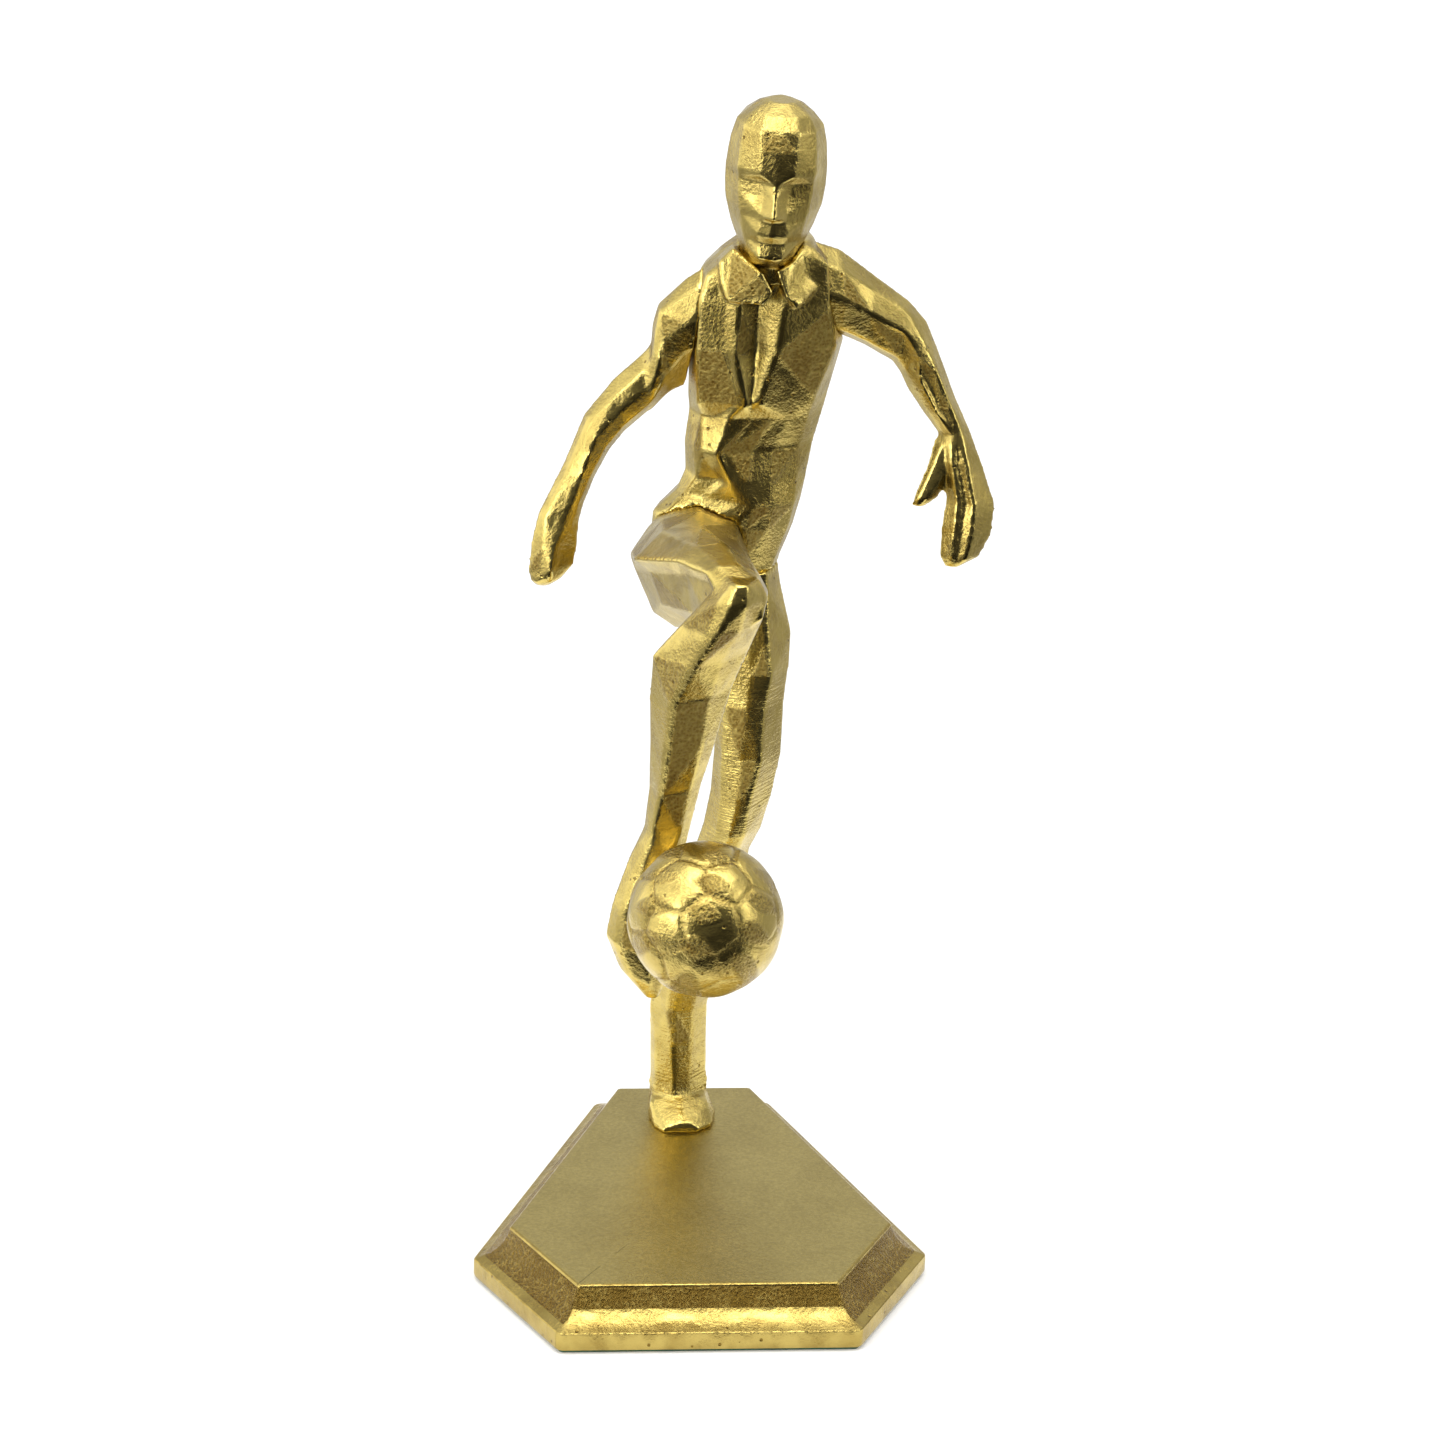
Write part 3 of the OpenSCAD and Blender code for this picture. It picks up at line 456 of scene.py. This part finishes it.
bpy.ops.object.select_all(action="DESELECT")
first = outline(0.8 * mm, 2.6 * mm)
bpy.ops.mesh.primitive_circle_add(vertices=len(first), radius=0.05, fill_type="NGON", location=(0, 0, 0))
base = bpy.context.object
base.name = base.data.name = "base_cast"
for vertex, place in zip(base.data.vertices, first):
    vertex.co = (*place, felt_top)
bpy.ops.object.mode_set(mode="EDIT")
bpy.ops.mesh.select_mode(type="FACE")
# Each step of the profile: how far in from the rim, and how high above the felt, in millimetres.
profile = [(0.25, 0.25), (0.05, 0.8), (0.0, 1.6), (0.0, 5.2), (0.1, 5.7), (0.4, 6.0)]
slopes = np.radians(np.linspace(14, 78, 12))
inwards = (np.sin(slopes) - math.sin(slopes[0])) / (math.sin(slopes[-1]) - math.sin(slopes[0]))
upwards = (math.cos(slopes[0]) - np.cos(slopes)) / (math.cos(slopes[0]) - math.cos(slopes[-1]))
profile += list(zip((0.8 + 9.35 * inwards).tolist(), (6.1 + 9.6 * upwards).tolist()))
profile += [(10.26, 16.0), (10.43, 16.22), (10.68, 16.38), (11.0, 16.47), (11.4, 16.5),
            (13, 16.5), (15, 16.5)]
for shrink, rise in profile:
    bpy.ops.mesh.select_all(action="DESELECT")
    bpy.ops.object.mode_set(mode="OBJECT")
    top = max(base.data.polygons, key=lambda f: (round(f.center.z / mm, 3), f.area))
    top.select = True
    bpy.ops.object.mode_set(mode="EDIT")
    bpy.ops.mesh.extrude_region_move()
    bpy.ops.object.mode_set(mode="OBJECT")
    ring = outline(shrink * mm, max(3 - shrink / 6, 0.9) * mm)
    top = max((f for f in base.data.polygons if f.select), key=lambda f: f.center.z)
    for index, place in zip(sorted(top.vertices), ring):
        base.data.vertices[index].co = (*place, felt_top + rise * mm)
    bpy.ops.object.mode_set(mode="EDIT")
bpy.ops.mesh.poke()
bpy.ops.mesh.select_all(action="SELECT")
bpy.ops.mesh.normals_make_consistent(inside=False)
bpy.ops.object.mode_set(mode="OBJECT")
base_high = max(v.co.z for v in base.data.vertices)
print("base has", len(base.data.polygons), "faces and stands", round(base_high / mm, 2), "mm high")

# %% [markdown]
# ### The base's three finishes
# The rim is polished, and so is the foot of the cove at the front and at the back. The rest of
# the cove keeps the sand's grain, and the flat top has a fine satin grain. The rim's and the cove's
# colours are both darkened evenly, as painted shade. Each finish is its own
# material, given to faces by their height and by the way they face.

# %% Finish the base
# These two finishes get 0.3 of evenly painted shade, which darkens their whole colour.
polished_rim = cast_metal("polished_rim", 0.05, 0.13, painted_shade=0.3)
cove_skin = cast_metal("cove_skin", 0.95, 0.05, painted_shade=0.3, depth=0.85 * mm)
satin_pale, satin_deep = (0.53, 0.425, 0.14, 1), (0.35, 0.27, 0.08, 1)


def satin_metal():
    material, tree, shader, place = start_material("satin_top")
    tooth = noise(tree, place, 1.0 * mm, 6.0, 0.75)
    drift = noise(tree, place, 22 * mm, 3.0)
    specks = cells(tree, place, 3.2 * mm, 0.1)
    speck = 1 - specks.between(0.04, 0.12)
    bump = add_node(tree, "ShaderNodeBump", Strength=0.9, Distance=0.14 * mm,
                    Height=tooth + drift * 0.4 - speck * 0.5)
    tone = (drift.between(0.35, 0.7) * 0.3 + tooth.between(0.35, 0.65) * 0.6 + speck * 0.4).at_most(1.0)
    plug(tree, shader.inputs["Base Color"], mixed(tree, tone, satin_pale, satin_deep))
    plug(tree, shader.inputs["Roughness"], drift * 0.10 + tooth * 0.06 + 0.13)
    plug(tree, shader.inputs["Metallic"], 1.0)
    plug(tree, shader.inputs["Normal"], bump)
    return material


base.data.materials.append(polished_rim)
base.data.materials.append(cove_skin)
base.data.materials.append(satin_metal())
flat_enough, top_from = 0.97, 16.42
cove_top, front_grain_from, side_grain_from = 15.8, 10, 7.2
for face in base.data.polygons:
    height = (face.center.z - felt_top) / mm
    faces_front_or_back = abs(face.normal.x) < 0.3
    grain_from = front_grain_from if faces_front_or_back else side_grain_from
    if face.normal.z > flat_enough and height > top_from:
        face.material_index = 2
    elif grain_from < height < cove_top:
        face.material_index = 1
only(base)
bpy.ops.object.shade_smooth_by_angle(angle=math.radians(24))
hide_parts("base_plate")
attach(base, "root")
print("base finishes:", [m.name for m in base.data.materials])

# %% [markdown]
# ## The ball
# The ball is a cast sphere with the classic pattern of five- and six-sided panels cut into it.
# Each panel's middle is known from the regular solids, so every point of a fine sphere can ask
# which two panels are nearest. Where the two are almost equally near there is a seam, and the
# point is pushed in.

# %% Find the middles of the panels
ball_low, ball_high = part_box("ball")
ball_middle = (ball_low + ball_high) / 2
ball_radius = (ball_high.x - ball_low.x) / 2
bpy.ops.object.select_all(action="DESELECT")
bpy.ops.mesh.primitive_ico_sphere_add(subdivisions=1, radius=1, location=(0, 0, 0))
guide = bpy.context.object
fives = [v.co.normalized() for v in guide.data.vertices]
sixes = [f.center.normalized() for f in guide.data.polygons]
bpy.data.objects.remove(guide)
six_facing = Vector((-0.24, -0.90, -0.36)).normalized()
spin_to = sixes[0].rotation_difference(six_facing)
fives = [spin_to @ v for v in fives]
sixes = [spin_to @ v for v in sixes]
five_near = max(fives, key=lambda v: v.dot(six_facing))
flat = (five_near - six_facing * five_near.dot(six_facing)).normalized()
side = Vector((1, 0, 0)) - six_facing * six_facing.x
side.normalize()
rise = six_facing.cross(side)
if rise.z < 0:
    rise = -rise
angle_now = math.atan2(flat.dot(rise), flat.dot(side))
wanted = math.radians(133)
twist = Matrix.Rotation(wanted - angle_now, 3, side.cross(rise))
middles = np.array([twist @ v for v in fives] + [twist @ v for v in sixes])
# In a solid of these panels with edges 1 long, the two kinds lie this far from its middle.
five_distance, six_distance = 2.327, 2.267
weights = np.array([five_distance] * 12 + [six_distance] * 20)
print("panels:", len(fives), "five-sided and", len(sixes), "six-sided")

# %% [markdown]
# ### Seams, wear and grain
# On a fine sphere, the difference between the two nearest panels' distances is the distance to
# the seam. The groove is a soft bell shape across that distance, with a wider, shallower dip
# beside it. Handling has rubbed the ball on one side, so the grooves fade towards there.

# %% Cut the seams of the ball
bpy.ops.mesh.primitive_ico_sphere_add(subdivisions=7, radius=ball_radius, location=ball_middle)
ball = bpy.context.object
ball.name = ball.data.name = "ball_cast"
bpy.ops.object.transform_apply(location=True, rotation=True, scale=True)
points = np.array([v.co for v in ball.data.vertices]) - np.array(ball_middle)
ways = points / np.linalg.norm(points, axis=1)[:, None]
near = np.sort((ways @ middles.T) / weights, axis=1)
gap = (near[:, -1] - near[:, -2]) * weights.mean() * ball_radius / mm
rubbed_side = np.array([0.58, -0.79, -0.2])
from_rubbed = np.arccos(np.clip(ways @ rubbed_side, -1, 1))
rubbed = np.exp(-(from_rubbed / 0.95) ** 2)


def ripple(first, second, shift=0.0):
    """A gentle unevenness between -1 and 1 over the sphere, from two crossing waves."""
    return np.sin(ways @ np.array(first)) * np.sin(ways @ np.array(second) + shift)


uneven = 0.5 + 0.5 * ripple([4.3, 2.1, -3.2], [1.1, -3.9, 2.7], 1)
depth = (1 - 0.8 * rubbed) * (0.6 + 0.4 * uneven)
groove = np.exp(-(gap / 0.55) ** 2) * depth
lift = -0.75 * groove - 0.3 * np.exp(-(gap / 2.4) ** 2) * depth
lift += 0.22 * ripple([7.0, 3.0, 5.0], [-4.0, 6.5, 3.0], 0.7)
moved = np.array(ball_middle) + ways * (ball_radius + lift * mm)[:, None]
ball.data.vertices.foreach_set("co", moved.ravel())
ball.data.update()
patches = ripple([6.82, 3.74, 5.06], [-2.47, 5.51, 7.03])
rough = np.clip(0.9 * groove + 0.9 * np.clip((patches - 0.1) * 2.5, 0, 1), 0, 1) * 0.75
store(ball.data, "grain", rough)
press(ball, "DISPLACE", texture=ground, strength=0.5 * mm, mid_level=0.6, texture_coords="LOCAL")
only(ball)
bpy.ops.object.shade_smooth()
ball.data.materials.append(cast_metal("ball_metal", 0.05, 0.11))
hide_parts("ball")
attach(ball, "root")
print("ball has", len(ball.data.polygons), "faces; seam points:", int((groove > 0.5).sum()))

# %% [markdown]
# ## The felt and the hidden fixings
# A thin felt sheet under the base keeps it from marking a shelf. The stud, washer, nut and pins
# that hold the castings together are steel, and are seen only when the trophy is taken apart.

# %% Finish the felt and the fixings
felt_dark, felt_light = (0.018, 0.06, 0.035, 1), (0.04, 0.12, 0.07, 1)
steel_dark, steel_light = (0.52, 0.52, 0.53, 1), (0.66, 0.66, 0.65, 1)


def felt():
    material, tree, shader, place = start_material("green_felt")
    fibres = noise(tree, place, 0.5 * mm, 6.0, 0.7)
    tufts = noise(tree, place, 4 * mm, 3.0)
    bump = add_node(tree, "ShaderNodeBump", Strength=0.8, Distance=0.2 * mm, Height=fibres + tufts * 0.4)
    plug(tree, shader.inputs["Base Color"], mixed(tree, fibres.between(0.3, 0.7), felt_dark, felt_light))
    plug(tree, shader.inputs["Roughness"], tufts * 0.1 + 0.88)
    plug(tree, shader.inputs["Normal"], bump)
    shader.inputs["Sheen Weight"].default_value = 0.4
    return material


def turned_steel():
    material, tree, shader, place = start_material("turned_steel")
    drawn_out = add_node(tree, "ShaderNodeMapping", Vector=place, Scale=(0.15, 0.15, 3.0))
    lines = noise(tree, drawn_out, 0.8 * mm)
    haze = noise(tree, place, 5 * mm)
    bump = add_node(tree, "ShaderNodeBump", Strength=0.3, Distance=0.04 * mm, Height=lines)
    plug(tree, shader.inputs["Base Color"], mixed(tree, haze, steel_dark, steel_light))
    plug(tree, shader.inputs["Roughness"], lines * 0.15 + haze * 0.1 + 0.2)
    plug(tree, shader.inputs["Metallic"], 1.0)
    plug(tree, shader.inputs["Normal"], bump)
    return material


green_felt, steel = felt(), turned_steel()
fixings = [name for name in nodes if "pin" in name or "foot" in name]
for name, node in nodes.items():
    node.data.materials.clear()
    node.data.materials.append(cast)
    if name == "felt_sheet":
        node.data.materials[0] = green_felt
    elif name in fixings:
        node.data.materials[0] = steel
print("felt and", len(fixings), "fixings finished")

# %% [markdown]
# ## The floor
# The trophy stands on a small pale sheet. It is kept small, because a wide one would light every
# facet that faces down.

# %% Lay the floor
bpy.ops.object.select_all(action="DESELECT")
bpy.ops.mesh.primitive_plane_add(size=1, location=(0, 0.07, 0))
floor = bpy.context.object
floor.scale = (0.5, 0.4, 1)
bpy.ops.object.transform_apply(location=True, rotation=True, scale=True)
floor.name = floor.data.name = "floor"
pale, tree, shader, place = start_material("pale_floor")
paper_grey, paper_white = (0.93, 0.93, 0.93, 1), (0.96, 0.96, 0.96, 1)
plug(tree, shader.inputs["Base Color"], mixed(tree, noise(tree, place, 0.4), paper_grey, paper_white))
shader.inputs["Roughness"].default_value = 0.9
floor.data.materials.append(pale)
print("floor sheet in mm:", [round(v / mm) for v in floor.dimensions])

# %% [markdown]
# ## The studio
# Polished metal shows whatever surrounds it. A studio's white tent gives long pale reflections,
# and its opening gives the dark ones that make gold look like gold. The tent here is a world that
# only reflections see: bright overhead and at the left, pale behind, dim at the front, and
# darkest low down in front, where the table ends. Everything else sees plain white.

# %% Put up the tent
white_seen_directly = 1.2
world = bpy.data.worlds.new("studio")
scene.world = world
world.use_nodes = True
tree = world.node_tree
tree.nodes.clear()
way = add_node(tree, "ShaderNodeTexCoord", output=0)
parts = tree.nodes.new("ShaderNodeSeparateXYZ")
plug(tree, parts.inputs[0], way)
across, ahead, upward = (Wire(tree, parts.outputs[i]) for i in range(3))
front = (ahead * -1).between(0.1, 0.65) * (1 - upward.between(0.62, 0.9))
table_edge = (across * 0.2 - ahead * 0.76 - upward * 0.6).between(0.55, 0.85)
overhead = upward.between(0.74, 0.93) * 2.0
left_wall = (across * -1).between(0.55, 0.8) * upward.between(-0.4, 0.1) * 1.15
backdrop = ahead.between(0.2, 0.8) * 0.31
tent = (overhead + backdrop + 0.42) * (1 - front * 0.74) * (1 - table_edge * 0.9) + left_wall
rays = tree.nodes.new("ShaderNodeLightPath")
seen_in_metal = Wire(tree, rays.outputs["Is Glossy Ray"])
background = tree.nodes.new("ShaderNodeBackground")
plug(tree, background.inputs["Strength"], seen_in_metal * tent + (1 - seen_in_metal) * white_seen_directly)
end = tree.nodes.new("ShaderNodeOutputWorld")
tree.links.new(background.outputs[0], end.inputs["Surface"])
plug(tree, background.inputs["Color"], (1, 1, 1, 1))
print("the studio has", len(tree.nodes), "nodes")

# %% [markdown]
# ## The lamps
# Three large soft lamps add gentle bright strips. They are weak, since the tent does most.

# %% Hang the lamps
def soft_lamp(name, place, target, size, watts):
    light = bpy.data.lights.new(name, "AREA")
    light.shape = "RECTANGLE"
    light.size, light.size_y = size
    light.energy = watts
    lamp = bpy.data.objects.new(name, light)
    scene.collection.objects.link(lamp)
    lamp.location = place
    lamp.rotation_euler = (Vector(target) - Vector(place)).to_track_quat("-Z", "Y").to_euler()


figure_middle = (0, 0, 0.2)
soft_lamp("lamp_left", (-1.0, -0.75, 0.75), figure_middle, (0.35, 0.9), 5)
soft_lamp("lamp_right", (1.2, -0.5, 0.8), figure_middle, (0.25, 0.9), 3)
soft_lamp("lamp_top", (-0.1, -0.35, 1.5), figure_middle, (0.9, 0.5), 6)
scene.view_settings.view_transform = "Standard"
